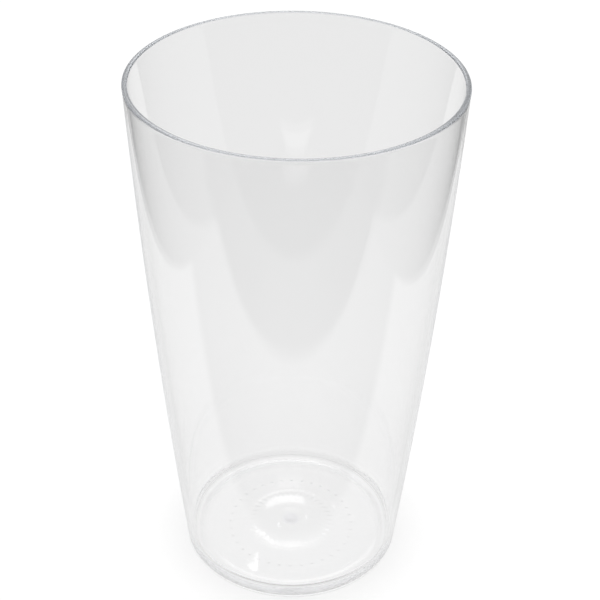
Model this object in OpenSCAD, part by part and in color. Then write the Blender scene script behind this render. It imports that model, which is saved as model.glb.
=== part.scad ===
// Clear plastic mixing glass: a tall tapered tumbler made as one moulding.
// The nodes are the regions of that moulding, meeting face to face.
// Origin at the centre of the standing plane, +Z up the axis of symmetry. Millimetres.

/* [Overall] */
// Overall height, from the standing plane to the lip
height = 152; // [145:1:158]
// Outside diameter at the lip
rim_d = 88; // [85:0.5:90]
// Outside diameter that the side has where it meets the standing plane
foot_d = 64.4; // [60:0.2:68]
// How far the side bows outwards at mid height from a straight taper
side_bulge = 1.2; // [0:0.1:2]

/* [Wall] */
// Wall thickness at the lip
lip_wall = 1.4; // [1.2:0.1:2]
// Wall thickness at the foot
foot_wall = 1.9; // [1.6:0.1:2.4]
// Height of the lip region
lip_h = 3; // [2:0.5:6]
// Radius of both edges of the lip
lip_round = 0.4; // [0.2:0.05:0.5]

/* [Base] */
// Thickness of the level floor
floor_t = 1.6; // [1.4:0.1:2.6]
// Depth of the shallow recess under the floor, which is also the radius of the heel's round edge
recess_h = 0.4; // [0.3:0.05:0.8]
// Radius of the gentle curve from the land up into the recess
recess_round = 60; // [40:5:90]
// Radial width of the level land that the glass stands on
land_w = 2; // [1.5:0.1:2.5]
// Height of the standing ring region
ring_h = 1.4; // [1:0.1:2]
// Radius of the gentle outer part of the floor
floor_round = 10; // [7:0.5:12]
// Slope that the floor has reached where the inner corner begins
floor_lean = 20; // [15:1:24]
// Radius of the inner corner between floor and wall
corner_round = 3.5; // [3:0.25:4]
// Radius of the raised dome in the middle of the floor
dome_r = 13; // [10:0.5:16]
// Height of the dome above the floor
dome_rise = 1; // [0.6:0.1:2]
// Exponent of the dome's outline: 2 is a parabola, more is flatter on top
dome_power = 2.4; // [2:0.1:3]

/* [Moulding marks] */
// Radius of the gate nub under the middle of the dome
gate_r = 2.4; // [1:0.1:3]
// Height of the gate nub
gate_h = 0.2; // [0.2:0.05:0.8]
// Width of the level ring round the gate nub
gate_land = 0.6; // [0.5:0.1:2]
// Number of raised dots under the floor
dot_count = 36; // [12:6:60]
// Radius of the circle that the dots stand on
dot_ring_r = 19; // [16.5:0.5:21]
// Diameter of a dot
dot_d = 1.2; // [0.8:0.1:1.6]
// Height of a dot
dot_h = 0.1; // [0.1:0.05:0.3]

/* [Hidden] */

$fn = 120;
clear = [0.84, 0.88, 0.91, 0.4];
// Straight steps that stand for the bowed side, a round edge, the inner corner, the dome
// and the gentle curves of the floor and the recess
side_steps = 16;
edge_steps = 5;
corner_steps = 8;
dome_steps = 10;
floor_steps = 4;

rim_r = rim_d / 2;
foot_r = foot_d / 2;
floor_z = recess_h + floor_t;
dome_z = recess_h + dome_rise;
lip_z = height - lip_h;
wall_z = floor_z + floor_round * (1 - cos(floor_lean)) + corner_round * cos(floor_lean);

// Outer radius of the side at height z
function side_r(z) = let (u = z / height)
    foot_r + (rim_r - foot_r) * u + 4 * side_bulge * u * (1 - u);
// Wall thickness at height z
function wall_t(z) = foot_wall + (lip_wall - foot_wall) * z / height;
// Inner radius of the wall at height z
function bore_r(z) = side_r(z) - wall_t(z);
// Height of the dome above the floor at radius r, level over the gate
function dome(r) = let (flat_r = gate_r + gate_land, u = max(0, r - flat_r) / (dome_r - flat_r))
    dome_rise * (1 - pow(u, dome_power));
// Points of an arc about centre c, from angle a0 to angle a1
function arc(c, r, a0, a1, steps) =
    [for (i = [0:steps]) let (a = a0 + (a1 - a0) * i / steps) c + r * [cos(a), sin(a)]];
// Points of the outside of the side between two heights, bottom to top
function side_line(z0, z1, steps) =
    [for (i = [0:steps]) let (z = z0 + (z1 - z0) * i / steps) [side_r(z), z]];
// Points of the inside of the side between two heights, top to bottom
function bore_line(z0, z1, steps) =
    [for (i = [steps:-1:0]) let (z = z0 + (z1 - z0) * i / steps) [bore_r(z), z]];

// Lean of the side at the foot, outside and inside
side_lean = atan(side_r(recess_h) - side_r(recess_h - 1));
bore_lean = atan(bore_r(wall_z) - bore_r(wall_z - 1));
// Centre of the heel's round edge
heel_c = [side_r(recess_h * (1 - sin(side_lean))) - recess_h * cos(side_lean), recess_h];
// Centre of the inner corner, and of the gentle outer part of the floor
corner_end_z = wall_z - corner_round * sin(bore_lean);
corner_c = [bore_r(corner_end_z) - corner_round * cos(bore_lean), wall_z];
floor_c = [corner_c.x - (floor_round - corner_round) * sin(floor_lean), floor_z + floor_round];
// Radius of the seam between the floor and the two rings round it
seam_r = floor_c.x + floor_round * sin(floor_lean);
// Centre of the recess's curve, and its angles where it meets the land and the seam
land_a = 90 - acos(1 - recess_h / recess_round);
recess_c = [heel_c.x - land_w - recess_round * cos(land_a), recess_h - recess_round];
seam_a = acos((seam_r - recess_c.x) / recess_round);

module turned(points) {
    rotate_extrude() polygon(points);
}

module rim_lip() {
    outer_c = [rim_r - lip_round, height - lip_round];
    inner_c = [bore_r(height) + lip_round, height - lip_round];
    color(clear) turned(concat(
        [[bore_r(lip_z), lip_z], [side_r(lip_z), lip_z]],
        arc(outer_c, lip_round, 0, 90, edge_steps),
        arc(inner_c, lip_round, 90, 180, edge_steps)));
}

module side_wall() {
    color(clear) turned(concat(
        side_line(wall_z, lip_z, side_steps),
        bore_line(wall_z, lip_z, side_steps)));
}

module corner_ring() {
    color(clear) turned(concat(
        [[seam_r, ring_h]],
        side_line(ring_h, wall_z, 1),
        [[bore_r(wall_z), wall_z]],
        arc(corner_c, corner_round, -bore_lean, floor_lean - 90, corner_steps)));
}

module base_floor() {
    dome_line = [for (i = [0:dome_steps]) dome_r * i / dome_steps];
    color(clear) turned(concat(
        [for (r = dome_line) [r, recess_h + dome(r)]],
        arc(recess_c, recess_round, 90, seam_a, floor_steps),
        arc(floor_c, floor_round, floor_lean - 90, -90, floor_steps),
        [for (i = [dome_steps:-1:0]) let (r = dome_line[i]) [r, floor_z + dome(r)]]));
}

module standing_ring() {
    color(clear) turned(concat(
        arc(recess_c, recess_round, seam_a, land_a, 1),
        arc(heel_c, recess_h, -90, -side_lean, edge_steps),
        [[side_r(ring_h), ring_h], [seam_r, ring_h]]));
}

module gate_nub() {
    color(clear) turned([
        [0, dome_z],
        [0, dome_z - gate_h],
        [gate_r * 0.6, dome_z - gate_h],
        [gate_r, dome_z]]);
}

module floor_dots() {
    color(clear) for (i = [0:dot_count - 1])
        rotate([0, 0, 360 * i / dot_count])
            translate([dot_ring_r, 0, recess_h - dot_h])
                cylinder(d = dot_d, h = dot_h, $fn = 24);
}

rim_lip();
side_wall();
corner_ring();
base_floor();
standing_ring();
gate_nub();
floor_dots();
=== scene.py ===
"""A clear plastic mixing glass: one seamless moulding on a white floor with painted shade round the foot, in
soft studio light.
"""

import math

import bpy
import numpy as np
from mathutils import Matrix, Vector


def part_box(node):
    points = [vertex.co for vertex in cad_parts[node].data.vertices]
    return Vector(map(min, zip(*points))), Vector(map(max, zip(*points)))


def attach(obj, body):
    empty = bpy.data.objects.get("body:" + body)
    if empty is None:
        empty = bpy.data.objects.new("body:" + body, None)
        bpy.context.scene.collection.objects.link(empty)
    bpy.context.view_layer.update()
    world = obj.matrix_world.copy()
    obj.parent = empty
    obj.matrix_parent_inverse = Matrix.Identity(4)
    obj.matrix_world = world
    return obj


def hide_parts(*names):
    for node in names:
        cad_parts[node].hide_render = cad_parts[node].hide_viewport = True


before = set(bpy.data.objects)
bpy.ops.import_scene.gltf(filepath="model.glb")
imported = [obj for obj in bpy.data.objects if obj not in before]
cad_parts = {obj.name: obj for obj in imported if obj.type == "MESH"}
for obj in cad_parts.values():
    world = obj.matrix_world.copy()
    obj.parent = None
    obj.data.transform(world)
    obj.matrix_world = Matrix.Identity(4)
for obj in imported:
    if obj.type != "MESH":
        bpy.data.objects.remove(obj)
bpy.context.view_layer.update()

MM = 0.001
NODES = ("rim_lip", "side_wall", "corner_ring", "base_floor", "standing_ring", "gate_nub", "floor_dots")

# ---------------------------------------------------------------- sizes, in millimetres, from the frame


def top_of(node):
    """Height of a CAD node's highest point, in millimetres."""
    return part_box(node)[1].z / MM


def bottom_of(node):
    """Height of a CAD node's lowest point, in millimetres."""
    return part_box(node)[0].z / MM


HEIGHT = top_of("rim_lip")
RECESS_H = top_of("floor_dots")
DOT_H = RECESS_H - bottom_of("floor_dots")
GATE_TOP = top_of("gate_nub")
GATE_H = GATE_TOP - bottom_of("gate_nub")
DOME_RISE = GATE_TOP - RECESS_H
FLOOR_Z = top_of("base_floor") - DOME_RISE

# The rest of the CAD's driving dimensions
RIM_R = 44.0
FOOT_R = 32.2
SIDE_BULGE = 1.2
LIP_WALL = 1.4
FOOT_WALL = 1.9
LIP_ROUND = 0.4
RING_W = 2.0
RECESS_ROUND = 60.0
CORNER_ROUND = 3.5
FLOOR_ROUND = 10.0
FLOOR_LEAN = 20.0
DOME_R = 13.0
DOME_POWER = 2.4
GATE_R = 2.4
DOT_COUNT = 36
DOT_RING_R = 19.0
DOT_R = 0.6

# Finer shapes than the CAD has: the dome's softened edge, the moat round the gate and the ribs
# round the dome's edge
DOME_BLEND = 0.25
MOAT_W = 0.6
MOAT_H = 0.03
RIB_COUNT = 40
RIB_H = 0.025
RIB_R = 12.2
RIB_HALF = 1.5

# Radii between which the rings of the mesh lie closer together, for the dome and for the dots
DOME_CLOSE_R = DOME_R + 1.4
DOTS_CLOSE_R = (DOT_RING_R - 0.7, DOT_RING_R + 0.7)
SEGMENTS = 480


def side_r(z):
    """Outer radius of the side at height z."""
    u = z / HEIGHT
    return FOOT_R + (RIM_R - FOOT_R) * u + 4 * SIDE_BULGE * u * (1 - u)


def bore_r(z):
    """Inner radius of the wall at height z."""
    return side_r(z) - (FOOT_WALL + (LIP_WALL - FOOT_WALL) * z / HEIGHT)


def dome(r):
    """Height of the dome above the level floor at radius r."""
    flat = GATE_R + MOAT_W
    u = max(0.0, r - flat) / (DOME_R - flat)
    fall = 1 - u ** DOME_POWER
    if abs(fall) < DOME_BLEND:
        return DOME_RISE * (fall + DOME_BLEND) ** 2 / (4 * DOME_BLEND)
    return DOME_RISE * max(fall, 0.0)


def arc(centre, radius, start, end, steps):
    """Points along an arc, angles in degrees, both ends included."""
    angles = np.radians(np.linspace(start, end, steps + 1))
    return [(centre[0] + radius * math.cos(a), centre[1] + radius * math.sin(a)) for a in angles]


def level_run(z, start, end, count):
    """Points of a level run at height z, from radius start to radius end."""
    return [(r, z) for r in np.linspace(start, end, count)]


def inside():
    """The outline's inner side: from the middle of the floor up to the lip."""
    lean = math.radians(FLOOR_LEAN)
    wall_z = FLOOR_Z + FLOOR_ROUND * (1 - math.cos(lean)) + CORNER_ROUND * math.cos(lean)
    bore_lean = math.atan(bore_r(wall_z) - bore_r(wall_z - 1))
    corner_end = wall_z - CORNER_ROUND * math.sin(bore_lean)
    corner = (bore_r(corner_end) - CORNER_ROUND * math.cos(bore_lean), wall_z)
    floor_r = corner[0] - (FLOOR_ROUND - CORNER_ROUND) * math.sin(lean)
    lip_z = HEIGHT - LIP_ROUND
    points = [(r, FLOOR_Z + dome(r)) for r in np.linspace(0.6, DOME_CLOSE_R, 28)]
    points += level_run(FLOOR_Z, DOME_CLOSE_R + 0.6, floor_r - 0.8, 8)
    points += arc((floor_r, FLOOR_Z + FLOOR_ROUND), FLOOR_ROUND, -90, FLOOR_LEAN - 90, 9)
    points += arc(corner, CORNER_ROUND, FLOOR_LEAN - 84, -math.degrees(bore_lean), 14)
    points += [(bore_r(z), z) for z in np.linspace(corner_end + 3, lip_z - 1, 20)]
    points += arc((bore_r(HEIGHT) + LIP_ROUND, lip_z), LIP_ROUND, 180, 90, 5)
    return points


def outside():
    """The outline's outer side: from the lip down to the round edge of the heel."""
    side_lean = math.atan(side_r(RECESS_H) - side_r(RECESS_H - 1))
    heel_end = RECESS_H * (1 - math.sin(side_lean))
    heel = (side_r(heel_end) - RECESS_H * math.cos(side_lean), RECESS_H)
    lip_z = HEIGHT - LIP_ROUND
    points = arc((RIM_R - LIP_ROUND, lip_z), LIP_ROUND, 90, 0, 5)
    points += [(side_r(z), z) for z in np.linspace(lip_z - 1, heel_end + 1, 24)]
    points += arc(heel, RECESS_H, -math.degrees(side_lean), -90, 6)
    return points


def underneath(land_r):
    """The outline's underside: from the inner edge of the land, at radius land_r, to the middle."""
    recess_lean = math.acos(1 - RECESS_H / RECESS_ROUND)
    recess_r = land_r - RECESS_ROUND * math.sin(recess_lean)
    recess = (recess_r, RECESS_H - RECESS_ROUND)
    moat_r = GATE_R + MOAT_W
    points = arc(recess, RECESS_ROUND, 90 - math.degrees(recess_lean), 90, 8)
    points += level_run(RECESS_H, recess_r - 0.6, DOTS_CLOSE_R[1] + 0.3, 6)
    points += level_run(RECESS_H, DOTS_CLOSE_R[1], DOTS_CLOSE_R[0], 9)
    points += level_run(RECESS_H, DOTS_CLOSE_R[0] - 0.3, DOME_CLOSE_R + 0.4, 5)
    points += [(r, RECESS_H + dome(r)) for r in np.linspace(DOME_CLOSE_R, moat_r + 0.1, 24)]
    for u in np.linspace(0.1, 1, 10):
        points += [(moat_r - MOAT_W * u, GATE_TOP + MOAT_H * math.sin(math.pi * u) ** 2)]
    for u in np.linspace(0.1, 0.9, 8):
        points += [(GATE_R * (1 - u), GATE_TOP - GATE_H * math.sin(math.pi / 2 * min(1, 1.1 * u)) ** 2)]
    return points


def profile():
    """The whole outline as (radius, height) points."""
    outer = outside()
    return inside() + outer + underneath(outer[-1][0] - RING_W)


def ribs(radius, turn):
    """Height of the ribs on both faces of the dome's edge, per ring and per step round."""
    fade = np.clip(1 - ((radius - RIB_R) / RIB_HALF) ** 2, 0, 1)
    return RIB_H * np.cos(RIB_COUNT * turn)[None, :] * fade[:, None]


def dots(radius, height, turn):
    """How far the dots stand out below the recess, per ring and per step round."""
    under = np.abs(height - RECESS_H) < 1e-6
    step = 2 * math.pi / DOT_COUNT
    off = (turn + step / 2) % step - step / 2
    away = np.hypot(radius[:, None] - DOT_RING_R, DOT_RING_R * off[None, :]) / DOT_R
    return DOT_H * under[:, None] * np.clip(1 - away ** 4, 0, 1)


def tumbler_mesh():
    """The outline turned round the axis, with the moulding marks raised on it."""
    outline = np.array(profile())
    radius = outline[:, 0]
    height = outline[:, 1]
    turn = np.linspace(0, 2 * math.pi, SEGMENTS, endpoint=False)
    x = radius[:, None] * np.cos(turn)
    y = radius[:, None] * np.sin(turn)
    z = height[:, None] + ribs(radius, turn) - dots(radius, height, turn)
    middles = [[0, 0, FLOOR_Z + DOME_RISE], [0, 0, height[-1]]]
    verts = np.vstack([np.stack([x, y, z], -1).reshape(-1, 3), middles]) * MM
    last = (len(outline) - 1) * SEGMENTS
    top = last + SEGMENTS
    low = top + 1
    faces = []
    for start in range(0, last, SEGMENTS):
        for j in range(SEGMENTS):
            k = (j + 1) % SEGMENTS
            faces.append((start + j, start + SEGMENTS + j, start + SEGMENTS + k, start + k))
    for j in range(SEGMENTS):
        k = (j + 1) % SEGMENTS
        faces.append((top, j, k))
        faces.append((low, last + k, last + j))
    mesh = bpy.data.meshes.new("tumbler")
    mesh.from_pydata(verts.tolist(), [], faces)
    mesh.validate()
    mesh.shade_smooth()
    return mesh


class Tree:
    """A short way to write a node tree."""

    def __init__(self, owner):
        owner.use_nodes = True
        self.nodes = owner.node_tree.nodes
        self.links = owner.node_tree.links
        self.nodes.clear()

    def node(self, kind, **inputs):
        """A node with some of its inputs set to numbers or linked to sockets."""
        node = self.nodes.new("ShaderNode" + kind)
        for name, source in inputs.items():
            self.feed(node.inputs[name.replace("_", " ")], source)
        return node

    def feed(self, socket, source):
        """Links socket to another socket, or sets its value."""
        if isinstance(source, bpy.types.NodeSocket):
            self.links.new(source, socket)
        else:
            socket.default_value = source

    def maths(self, operation, *terms):
        """The result of a Math node on sockets or numbers."""
        node = self.nodes.new("ShaderNodeMath")
        node.operation = operation
        for socket, source in zip(node.inputs, terms):
            self.feed(socket, source)
        return node.outputs[0]

    def both(self, one, other):
        """The product of two masks."""
        return self.maths("MULTIPLY", one, other)

    def ramp(self, value, low, high, at_low=0.0, at_high=1.0):
        """value taken from low..high to at_low..at_high, held at both ends."""
        node = self.nodes.new("ShaderNodeMapRange")
        self.feed(node.inputs["Value"], value)
        self.feed(node.inputs["From Min"], low)
        self.feed(node.inputs["From Max"], high)
        self.feed(node.inputs["To Min"], at_low)
        self.feed(node.inputs["To Max"], at_high)
        return node.outputs["Result"]

    def above(self, value, start, edge):
        """0 where value is below start, 1 above it, with a soft edge."""
        return self.ramp(value, start - edge, start + edge)

    def below(self, value, end, edge):
        """1 where value is below end, 0 above it, with a soft edge."""
        return self.ramp(value, end - edge, end + edge, 1.0, 0.0)

    def band(self, value, start, end, edge):
        """1 where value is between start and end, 0 elsewhere, with a soft edge."""
        return self.both(self.above(value, start, edge), self.below(value, end, edge))

    def pick(self, choice, if_one, if_zero):
        """if_one where choice is 1, if_zero where it is 0, and between them in between."""
        return self.ramp(choice, 0.0, 1.0, if_zero, if_one)

    def mix(self, factor, one, other):
        """A mix of two colours."""
        node = self.node("Mix", Factor=factor)
        node.data_type = "RGBA"
        self.feed(node.inputs["A"], one)
        self.feed(node.inputs["B"], other)
        return node.outputs["Result"]

    def from_axis(self, place):
        """Distance from the vertical axis, of a place given by its coordinates."""
        squares = [self.maths("POWER", place[axis], 2.0) for axis in "XY"]
        return self.maths("SQRT", self.maths("ADD", *squares))


# ---------------------------------------------------------------- the plastic

PLASTIC_IOR = 1.5
CLEAR_TINT = (0.99, 0.99, 0.99, 1)
# Painted shade: the lip's colour is darker, in place of the dark seen through the lip
LIP_PAINTED_SHADE = (0.63, 0.65, 0.67, 1)
GATE_TINT = (0.945, 0.94, 0.975, 1)
ABSORB_TINT = (0.56, 0.58, 0.62, 1)
ABSORB_DENSITY = 4.0

# In millimetres: depths below the lip where its painted shade starts and is full, the height up to which the
# foot is scuffed, and the radii and the height over which the haze at the gate fades
LIP_SHADE_AT = (0.35, 0.15)
WEAR_H = 0.6
SCAR_R = (0.8 * GATE_R, 1.2 * GATE_R)
SCAR_H = 0.3

# Roughness of the polished surface, and what the scuffed foot and the gate add to it
POLISH = (0.01, 0.03)
WEAR_ROUGH = 0.35
GATE_ROUGH = 0.3

# The cloudy unevenness of the polish, and the slight waves of the surface
CLOUD_SCALE = 60.0
CLOUD_RANGE = (0.3, 0.7)
WAVE_SCALE = 45.0
WAVE_STRENGTH = 0.05
WAVE_H = 0.3


def clear_plastic():
    """Polished clear plastic: finely uneven, scuffed at the foot, with painted shade darkening the lip, and
    hazy at the gate.
    """
    mat = bpy.data.materials.new("clear_plastic")
    tree = Tree(mat)
    spot = tree.node("TexCoord").outputs["Object"]
    place = tree.node("SeparateXYZ", Vector=spot).outputs
    height = place["Z"]
    # Mask of the painted shade along the lip
    lip = tree.ramp(height, (HEIGHT - LIP_SHADE_AT[0]) * MM, (HEIGHT - LIP_SHADE_AT[1]) * MM)
    scar = tree.both(tree.ramp(tree.from_axis(place), SCAR_R[0] * MM, SCAR_R[1] * MM, 1.0, 0.0),
                     tree.ramp(height, GATE_TOP * MM, (GATE_TOP + SCAR_H) * MM, 1.0, 0.0))
    wear = tree.ramp(height, 0.0, WEAR_H * MM, WEAR_ROUGH, 0.0)
    cloud = tree.node("TexNoise", Vector=spot, Scale=CLOUD_SCALE, Detail=3.0)
    uneven = tree.ramp(cloud.outputs[0], *CLOUD_RANGE, *POLISH)
    rough = tree.maths("ADD", uneven, tree.maths("ADD", wear, tree.maths("MULTIPLY", scar, GATE_ROUGH)))
    colour_and_lip_shade = tree.mix(scar, tree.mix(lip, CLEAR_TINT, LIP_PAINTED_SHADE), GATE_TINT)
    flow = tree.node("TexNoise", Vector=spot, Scale=WAVE_SCALE, Detail=1.0)
    wave = tree.node("Bump", Height=flow.outputs[0], Strength=WAVE_STRENGTH, Distance=WAVE_H * MM)
    shader = tree.node("BsdfPrincipled", Base_Color=colour_and_lip_shade, Roughness=rough, Normal=wave.outputs[0])
    shader.inputs["IOR"].default_value = PLASTIC_IOR
    shader.inputs["Transmission Weight"].default_value = 1.0
    depth = tree.node("VolumeAbsorption")
    depth.inputs["Density"].default_value = ABSORB_DENSITY
    depth.inputs["Color"].default_value = ABSORB_TINT
    tree.node("OutputMaterial", Surface=shader.outputs[0], Volume=depth.outputs[0])
    return mat


# ---------------------------------------------------------------- the piece

tumbler = bpy.data.objects.new("tumbler", tumbler_mesh())
bpy.context.scene.collection.objects.link(tumbler)
tumbler.data.materials.append(clear_plastic())
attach(tumbler, "root")
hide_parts(*NODES)

# ---------------------------------------------------------------- the studio, in metres
# The camera sees a white floor, with painted shade round the foot, and white surroundings. The plastic
# mirrors a studio with a white sheet, darker ground round it and a few lamps: the sheet and ground are a
# painted reflection on the floor, and rays that it guides inside itself see plain painted levels.

# The floor's own glow, and how much of the softbox's light it scatters
GLOW = 0.9
WHITE = 0.13

# What the camera sees of the floor: a soft shade round the foot
SHADE_R = 0.031
HALO_R = 0.043
HALO_LEVEL = 0.93

# Painted shade of the floor as seen through the plastic, from the foot outwards, lighter again far off,
# and a painted contact shadow along the line of contact
BASE_R = 0.028
BASE_LEVEL = 0.99
NEAR_R = 0.04
NEAR_LEVEL = 0.90
FAR_R = 0.22
FAR_LEVEL = 0.85
HORIZON_AT = (2 * FAR_R, 6 * FAR_R)
HORIZON_LEVEL = 1.08
CONTACT_SHADOW_IN = (0.030, 0.0315)
CONTACT_SHADOW_OUT = (0.0325, 0.035)
CONTACT_SHADOW_LEVEL = 0.9

# The painted reflection on the floor, seen only by mirrored rays: a white sheet that is greyer in its front
# strip, darker ground beside it, dark ground in front of it, and a light gap in the dark
SHEET_FRONT = -0.133
SHEET_STEP = -0.052
SHEET_LEFT = -0.177
SHEET_RIGHT = 0.169
SHEET_EDGE = 0.0015
STRIP_ENDS = (0.03, 0.08)
GAP_NEAR = -0.25
GAP_FAR = -0.28
GAP_HALF = 0.028
GAP_SPREAD = 1.4
MIRROR_SHEET = 0.85
MIRROR_FRONT = 0.55
MIRROR_FRONT_ENDS = 0.42
MIRROR_SIDE = 0.35
MIRROR_DARK = 0.05
MIRROR_GAP = 0.7

# Painted light and shade that rays guided inside the plastic see: the floor, the floor at both ends of the
# foot after a few turns, painted lighter, the floor after many turns, and the sky
GUIDED_LEVEL = 0.6
GUIDED_ENDS = 0.9
ENDS_X = (0.014, 0.026)
ENDS_R = (0.038, 0.044)
ENDS_TURNS = (5.0, 9.0)
DEEP_LEVEL = 1.0
DEEP_TURNS = (15.0, 35.0)
SKY_GUIDED = 1.3

# The sky: as the camera sees it, mirrored low and high, and as it lights the floor
SKY_CAMERA = 1.0
SKY_BACK = 0.68
SKY_TOP = 0.8
SKY_TOP_AT = (0.75, 0.8)
SKY_DIFFUSE = 0.5

# Mirrored lamps: elevations and bearings in degrees, level and softness of the edge
LAMPS = (
    ((61, 66), (-20, 22), 3.0, 0.01),
    ((72, 75), (-24, 12), 6.0, 0.008),
    ((52, 59), (-28, -21), 6.0, 0.01),
    ((58, 65), (28, 34), 8.0, 0.01),
    ((25, 36), (-11, 5), 2.2, 0.02),
    ((44.7, 45.2), (-3.35, -3.05), 6.0, 0.001),
    ((45.1, 45.5), (-4.0, -3.05), 6.0, 0.001),
    ((42.7, 43.3), (3.3, 4.0), 3.5, 0.002),
    ((41.5, 42.4), (-1.2, 0.8), 1.7, 0.004),
)


def seen_through(tree, from_axis):
    """Levels of painted shade on the floor for rays that only pass through the plastic."""
    through = tree.ramp(from_axis, NEAR_R, FAR_R, NEAR_LEVEL, FAR_LEVEL)
    through = tree.pick(tree.ramp(from_axis, *HORIZON_AT), HORIZON_LEVEL, through)
    return tree.pick(tree.ramp(from_axis, BASE_R, NEAR_R), through, BASE_LEVEL)


def seen_mirrored(tree, place, off_middle):
    """Painted reflection: levels of the floor for rays that were mirrored once."""
    across = tree.band(place["X"], SHEET_LEFT, SHEET_RIGHT, SHEET_EDGE)
    ahead = tree.above(place["Y"], SHEET_FRONT, SHEET_EDGE)
    behind = tree.above(place["Y"], SHEET_STEP, SHEET_EDGE)
    strip = tree.ramp(off_middle, *STRIP_ENDS, MIRROR_FRONT, MIRROR_FRONT_ENDS)
    sheet = tree.pick(behind, MIRROR_SHEET, strip)
    gap_side = tree.maths("ADD", off_middle, tree.maths("MULTIPLY", place["Y"], GAP_SPREAD))
    gap = tree.both(tree.band(place["Y"], GAP_FAR, GAP_NEAR, SHEET_EDGE),
                    tree.below(gap_side, GAP_HALF + GAP_NEAR * GAP_SPREAD, SHEET_EDGE))
    beyond = tree.pick(gap, MIRROR_GAP, MIRROR_DARK)
    return tree.pick(ahead, tree.pick(across, sheet, MIRROR_SIDE), beyond)


def seen_guided(tree, turns, from_axis, off_middle):
    """Painted levels of the floor for rays that were mirrored more than once, inside the plastic."""
    ends = tree.both(tree.ramp(off_middle, *ENDS_X), tree.ramp(from_axis, *ENDS_R, 1.0, 0.0))
    ends = tree.both(ends, tree.ramp(turns, *ENDS_TURNS, 1.0, 0.0))
    return tree.pick(ends, GUIDED_ENDS, tree.ramp(turns, *DEEP_TURNS, GUIDED_LEVEL, DEEP_LEVEL))


def floor_material():
    """White floor with painted shade round the foot and a painted contact shadow. Only mirrored rays meet
    the rest of the studio, a painted reflection, which the camera never sees.
    """
    mat = bpy.data.materials.new("white_floor")
    tree = Tree(mat)
    path = tree.node("LightPath").outputs
    turns = path["Glossy Depth"]
    place = tree.node("SeparateXYZ", Vector=tree.node("NewGeometry").outputs["Position"]).outputs
    off_middle = tree.maths("ABSOLUTE", place["X"])
    from_axis = tree.from_axis(place)
    # Painted contact shadow: a darker ring round the foot, on the floor seen through the plastic and in its
    # painted reflection
    contact = tree.both(tree.ramp(from_axis, *CONTACT_SHADOW_IN), tree.ramp(from_axis, *CONTACT_SHADOW_OUT, 1.0, 0.0))
    shade_in = tree.pick(contact, CONTACT_SHADOW_LEVEL, 1.0)
    through = tree.maths("MULTIPLY", seen_through(tree, from_axis), shade_in)
    mirrored = tree.maths("MULTIPLY", seen_mirrored(tree, place, off_middle), shade_in)
    guided = seen_guided(tree, turns, from_axis, off_middle)
    mirrored = tree.pick(tree.ramp(turns, 1.0, 2.0), guided, mirrored)
    seen = tree.ramp(from_axis, SHADE_R, HALO_R, HALO_LEVEL, 1.0)
    bounced = tree.ramp(turns, 0.0, 1.0)
    level = tree.pick(path["Is Camera Ray"], seen, tree.pick(bounced, mirrored, through))
    tone = tree.node("CombineColor", Red=level, Green=level, Blue=level).outputs[0]
    paint = tree.maths("MULTIPLY", level, WHITE)
    paint = tree.node("CombineColor", Red=paint, Green=paint, Blue=paint).outputs[0]
    lit = tree.node("BsdfDiffuse", Color=paint)
    glow = tree.node("Emission", Color=tone, Strength=GLOW)
    total = tree.node("AddShader")
    tree.feed(total.inputs[0], lit.outputs[0])
    tree.feed(total.inputs[1], glow.outputs[0])
    tree.node("OutputMaterial", Surface=total.outputs[0])
    return mat


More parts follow.
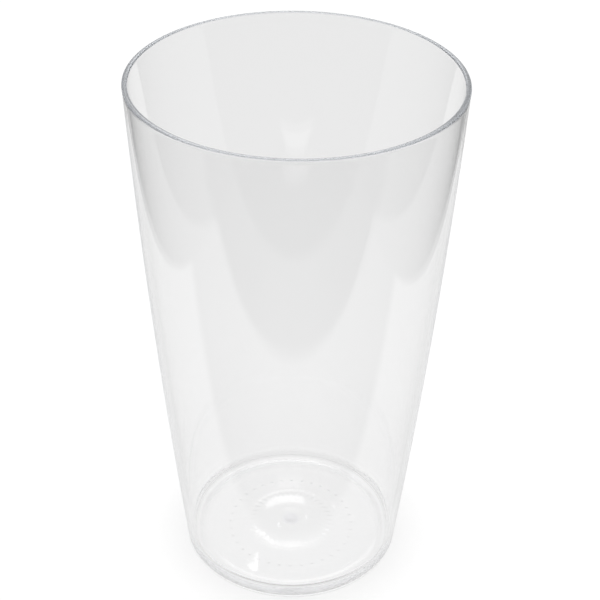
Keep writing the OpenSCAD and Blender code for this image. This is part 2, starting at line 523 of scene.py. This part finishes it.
def studio_world():
    """White behind the object, and a darker room with lamps where it is mirrored."""
    world = bpy.data.worlds.new("studio")
    tree = Tree(world)
    path = tree.node("LightPath").outputs
    turns = path["Glossy Depth"]
    way = tree.node("SeparateXYZ", Vector=tree.node("TexCoord").outputs["Generated"]).outputs
    bearing = tree.maths("ARCTAN2", way["X"], way["Y"])
    mirrored = tree.ramp(way["Z"], *SKY_TOP_AT, SKY_BACK, SKY_TOP)
    for elevations, bearings, glare, edge in LAMPS:
        low, high = (math.sin(math.radians(angle)) for angle in elevations)
        left, right = (math.radians(angle) for angle in bearings)
        lamp = tree.both(tree.band(way["Z"], low, high, edge), tree.band(bearing, left, right, edge))
        mirrored = tree.pick(lamp, glare, mirrored)
    mirrored = tree.pick(tree.ramp(turns, 1.0, 2.0), SKY_GUIDED, mirrored)
    level = tree.pick(tree.ramp(turns, 0.0, 1.0), mirrored, SKY_CAMERA)
    level = tree.pick(path["Is Diffuse Ray"], SKY_DIFFUSE, level)
    back = tree.node("Background", Strength=level)
    back.inputs["Color"].default_value = (1, 1, 1, 1)
    tree.node("OutputWorld", Surface=back.outputs[0])
    return world


FLOOR_SIZE = 6.0
SOFTBOX_SIZE = 0.9
SOFTBOX_POWER = 10.0
SOFTBOX_AT = (0.0, 0.1, 1.1)

bpy.ops.mesh.primitive_plane_add(size=FLOOR_SIZE, location=(0, 0, 0))
floor = bpy.context.object
floor.name = "floor"
floor.data.materials.append(floor_material())
bpy.context.scene.world = studio_world()

softbox = bpy.data.objects.new("softbox", bpy.data.lights.new("softbox", "AREA"))
softbox.data.shape = "RECTANGLE"
softbox.data.size = SOFTBOX_SIZE
softbox.data.size_y = SOFTBOX_SIZE
softbox.data.energy = SOFTBOX_POWER
softbox.location = SOFTBOX_AT
bpy.context.scene.collection.objects.link(softbox)
softbox.visible_glossy = False
softbox.visible_transmission = False

# ---------------------------------------------------------------- the camera

CAMERA_AT = Vector((0.0, -0.3161, 0.2988))
CAMERA_AIM = Vector((0.0017, 0.0, 0.0843))
CAMERA_ROLL = -0.92
CAMERA_LENS = 81.9
SENSOR_WIDTH = 36.0
# Light has to follow long paths inside the clear wall
BOUNCES = 160

camera = bpy.data.objects.new("camera", bpy.data.cameras.new("camera"))
bpy.context.scene.collection.objects.link(camera)
camera.data.lens = CAMERA_LENS
camera.data.sensor_width = SENSOR_WIDTH
line_of_sight = (CAMERA_AIM - CAMERA_AT).normalized()
upright = line_of_sight.to_track_quat("-Z", "Y").to_matrix()
roll = Matrix.Rotation(math.radians(CAMERA_ROLL), 3, line_of_sight)
camera.matrix_world = Matrix.Translation(CAMERA_AT) @ (roll @ upright).to_4x4()
bpy.context.scene.camera = camera
bpy.context.scene.view_settings.view_transform = "Standard"
bpy.context.scene.cycles.max_bounces = BOUNCES
bpy.context.scene.cycles.transmission_bounces = BOUNCES
bpy.context.scene.cycles.glossy_bounces = BOUNCES
